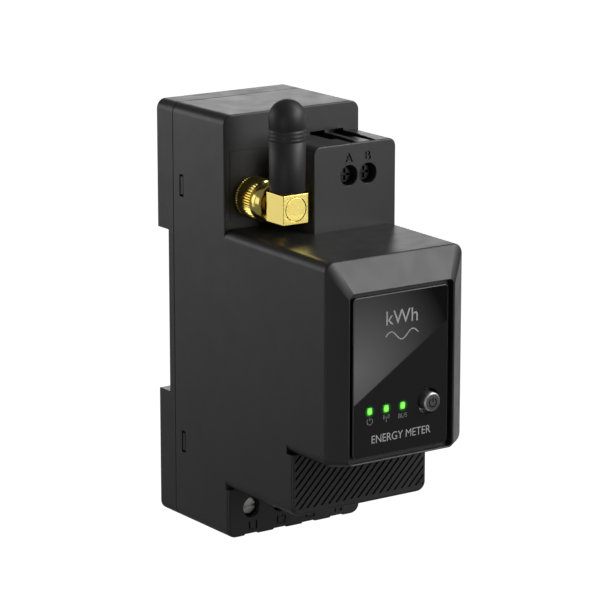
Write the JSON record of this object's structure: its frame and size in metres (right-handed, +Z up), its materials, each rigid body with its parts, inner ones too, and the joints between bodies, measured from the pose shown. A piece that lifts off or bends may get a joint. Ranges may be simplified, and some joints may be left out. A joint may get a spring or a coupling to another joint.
{
  "type": "smart electric meter",
  "caption": "DIN-rail smart electric meter: stepped black case with a gloss face panel, swivel antenna, mains and signal screw terminals, status lights, a button and a rail latch.",
  "frame": {"origin": "centre of the flat seat in the back that lies against a 35 mm DIN rail, midway along the case's height and width", "axes": "+Z up, -Y the way the front faces, +Y into the rail and the wall, +X to the right seen from the front"},
  "size_m": [0.036, 0.0691, 0.1004],
  "materials": {
    "housing_black": "fine-textured satin black PC/ABS",
    "base_black": "fine-textured satin black PC/ABS",
    "panel_gloss": "polished black acrylic",
    "button_black": "satin black",
    "light_green": "clear light pipe lit green",
    "antenna_rubber": "semi-matt moulded sleeve",
    "gold_plate": "gold-plated brass",
    "screw_steel": "zinc-plated steel",
    "screw_black": "black-oxide steel",
    "tinned_copper": "plated copper alloy",
    "spring_steel": "drawn spring wire",
    "board_green": "solder-masked laminate",
    "chip_black": "moulded epoxy",
    "ferrite_grey": "sintered ferrite",
    "winding_tape": "polyester tape",
    "capacitor_sleeve": "shrink sleeve",
    "varistor_blue": "dipped epoxy",
    "fuse_ceramic": "glazed ceramic",
    "shield_tin": "tin-plated can",
    "cable_white": "flat cable jacket",
    "connector_ivory": "nylon",
    "coax_brown": "thin coax jacket",
    "latch_black": "satin black acetal"
  },
  "bodies": {
    "root": {"antenna_socket": "gold_plate", "bus_transceiver": "chip_black", "busbar_l1": "tinned_copper", "busbar_l2": "tinned_copper", "busbar_l3": "tinned_copper", "busbar_n": "tinned_copper", "coax_pigtail": "coax_brown", "display_board": "board_green", "display_board_screw_1": "screw_steel", "display_board_screw_2": "screw_steel", "display_cable_socket": "connector_ivory", "face_panel": "panel_gloss", "flat_cable": "cable_white", "input_capacitor": "capacitor_sleeve", "input_fuse": "fuse_ceramic", "latch_spring": "spring_steel", "light_guide_bus": "light_green", "light_guide_power": "light_green", "light_guide_radio": "light_green", "main_board": "board_green", "main_board_screw_1": "screw_steel", "main_board_screw_2": "screw_steel", "main_cable_socket": "connector_ivory", "main_housing": "housing_black", "metering_chip": "chip_black", "output_capacitor": "capacitor_sleeve", "radio_module": "board_green", "radio_shield": "shield_tin", "rear_base": "base_black", "signal_contact_a": "tinned_copper", "signal_contact_b": "tinned_copper", "socket_washer": "spring_steel", "status_led_bus": "connector_ivory", "status_led_power": "connector_ivory", "status_led_radio": "connector_ivory", "surge_varistor": "varistor_blue", "tact_switch": "chip_black", "transformer_core": "ferrite_grey", "transformer_winding": "winding_tape"},
    "button": {"button_cap": "button_black", "switch_plunger": "connector_ivory"},
    "antenna": {"antenna_elbow": "gold_plate", "elbow_cap": "gold_plate", "antenna_sleeve": "antenna_rubber", "antenna_element": "tinned_copper"},
    "coupling_nut": {"coupling_nut": "gold_plate"},
    "din_latch": {"din_latch": "latch_black"},
    "terminal_screw_l1": {"terminal_screw_l1": "screw_steel"},
    "terminal_cage_l1": {"terminal_cage_l1": "tinned_copper"},
    "terminal_screw_l2": {"terminal_screw_l2": "screw_steel"},
    "terminal_cage_l2": {"terminal_cage_l2": "tinned_copper"},
    "terminal_screw_l3": {"terminal_screw_l3": "screw_steel"},
    "terminal_cage_l3": {"terminal_cage_l3": "tinned_copper"},
    "terminal_screw_n": {"terminal_screw_n": "screw_steel"},
    "terminal_cage_n": {"terminal_cage_n": "tinned_copper"},
    "signal_screw_a": {"signal_screw_a": "screw_black"},
    "signal_cage_a": {"signal_cage_a": "tinned_copper"},
    "signal_screw_b": {"signal_screw_b": "screw_black"},
    "signal_cage_b": {"signal_cage_b": "tinned_copper"}
  },
  "joints": [
    {"name": "button_press", "type": "slide", "parent": "root", "child": "button", "axis": [0, 1, 0], "range_m": [0, 0.0005], "stiffness_N_per_m": 3000, "springref_m": -0.0001},
    {"name": "antenna_swivel", "type": "hinge", "parent": "root", "child": "antenna", "pos_m": [-0.011, -0.03657, 0.0292], "axis": [0, 1, 0], "range_deg": [-100, 10]},
    {"name": "coupling_nut_turn", "type": "hinge", "parent": "root", "child": "coupling_nut", "pos_m": [-0.011, -0.0275, 0.0292], "axis": [0, 1, 0], "continuous": true},
    {"name": "latch_pull", "type": "slide", "parent": "root", "child": "din_latch", "axis": [0, 0, -1], "range_m": [0, 0.0032], "stiffness_N_per_m": 2500, "springref_m": -0.002, "deforming": ["latch_spring"]},
    {"name": "terminal_screw_l1_turn", "type": "hinge", "parent": "root", "child": "terminal_screw_l1", "pos_m": [-0.0117, -0.0187, -0.0412], "axis": [0, 1, 0], "range_deg": [0, 2700]},
    {"name": "terminal_cage_l1_rise", "type": "slide", "parent": "root", "child": "terminal_cage_l1", "axis": [0, -1, 0], "range_m": [0, 0.00375]},
    {"name": "terminal_screw_l2_turn", "type": "hinge", "parent": "root", "child": "terminal_screw_l2", "pos_m": [-0.0039, -0.0187, -0.0412], "axis": [0, 1, 0], "range_deg": [0, 2700]},
    {"name": "terminal_cage_l2_rise", "type": "slide", "parent": "root", "child": "terminal_cage_l2", "axis": [0, -1, 0], "range_m": [0, 0.00375]},
    {"name": "terminal_screw_l3_turn", "type": "hinge", "parent": "root", "child": "terminal_screw_l3", "pos_m": [0.0039, -0.0187, -0.0412], "axis": [0, 1, 0], "range_deg": [0, 2700]},
    {"name": "terminal_cage_l3_rise", "type": "slide", "parent": "root", "child": "terminal_cage_l3", "axis": [0, -1, 0], "range_m": [0, 0.00375]},
    {"name": "terminal_screw_n_turn", "type": "hinge", "parent": "root", "child": "terminal_screw_n", "pos_m": [0.0117, -0.0187, -0.0412], "axis": [0, 1, 0], "range_deg": [0, 2700]},
    {"name": "terminal_cage_n_rise", "type": "slide", "parent": "root", "child": "terminal_cage_n", "axis": [0, -1, 0], "range_m": [0, 0.00375]},
    {"name": "signal_screw_a_turn", "type": "hinge", "parent": "root", "child": "signal_screw_a", "pos_m": [0.0054, -0.0318, 0.0342], "axis": [0, 1, 0], "range_deg": [0, 1620]},
    {"name": "signal_cage_a_rise", "type": "slide", "parent": "root", "child": "signal_cage_a", "axis": [0, -1, 0], "range_m": [0, 0.00225]},
    {"name": "signal_screw_b_turn", "type": "hinge", "parent": "root", "child": "signal_screw_b", "pos_m": [0.0105, -0.0318, 0.0342], "axis": [0, 1, 0], "range_deg": [0, 1620]},
    {"name": "signal_cage_b_rise", "type": "slide", "parent": "root", "child": "signal_cage_b", "axis": [0, -1, 0], "range_m": [0, 0.00225]}
  ],
  "couplings": [
    {"joint": "terminal_screw_l1_turn", "follows": "terminal_cage_l1_rise", "rad_per_m": 12566},
    {"joint": "terminal_screw_l2_turn", "follows": "terminal_cage_l2_rise", "rad_per_m": 12566},
    {"joint": "terminal_screw_l3_turn", "follows": "terminal_cage_l3_rise", "rad_per_m": 12566},
    {"joint": "terminal_screw_n_turn", "follows": "terminal_cage_n_rise", "rad_per_m": 12566},
    {"joint": "signal_screw_a_turn", "follows": "signal_cage_a_rise", "rad_per_m": 12566},
    {"joint": "signal_screw_b_turn", "follows": "signal_cage_b_rise", "rad_per_m": 12566}
  ]
}
